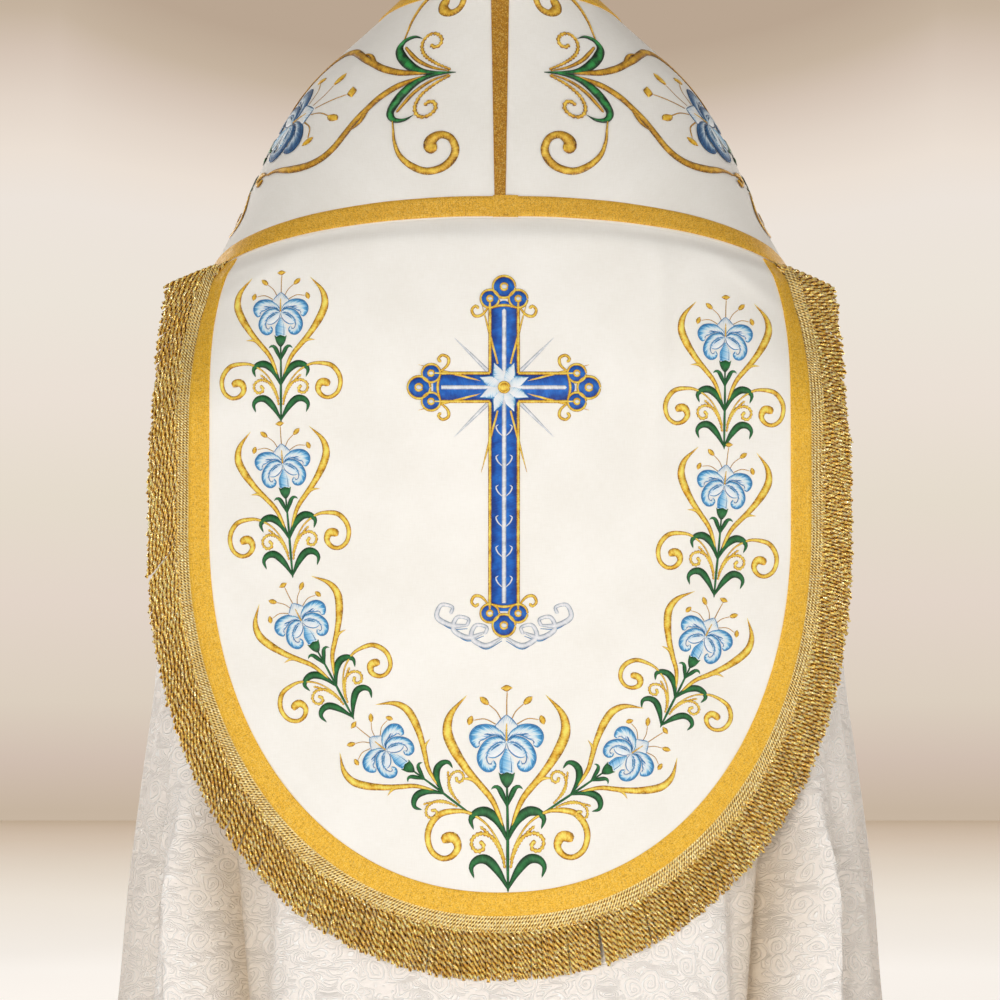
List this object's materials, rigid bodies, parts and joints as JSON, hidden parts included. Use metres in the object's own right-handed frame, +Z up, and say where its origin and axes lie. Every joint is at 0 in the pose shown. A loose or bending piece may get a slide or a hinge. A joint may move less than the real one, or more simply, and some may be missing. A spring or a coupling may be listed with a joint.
{
  "type": "cope",
  "caption": "Ivory cope in its worn form, with embroidered orphrey, shield hood edged with galloon and bullion fringe, and a plain chest clasp.",
  "frame": {"origin": "middle of the neck opening at the height of the nape, where the wearer bears the cope", "axes": "+Z up, -Y towards the back with the hood, +Y towards the open front, +X to the wearer's right"},
  "size_m": [0.835, 0.4314, 1.4307],
  "materials": {
    "damask": "ivory self-patterned damask with a soft sheen",
    "ivory_cloth": "ivory cloth with coloured satin-stitch embroidery",
    "gold_galloon": "flat woven gold braid, satin",
    "gold_fringe": "twisted gold bullion thread, glossy",
    "brass": "polished"
  },
  "bodies": {
    "root": {"body": "damask", "orphrey_left": "ivory_cloth", "orphrey_right": "ivory_cloth", "galloon_neck_and_fronts": "gold_galloon", "galloon_outer": "gold_galloon", "galloon_centre_back": "gold_galloon", "hood": "ivory_cloth", "galloon_hood": "gold_galloon", "fringe_hood": "gold_fringe", "clasp_plate_left": "brass", "clasp_plate_right": "brass", "clasp_link": "brass"}
  },
  "joints": []
}
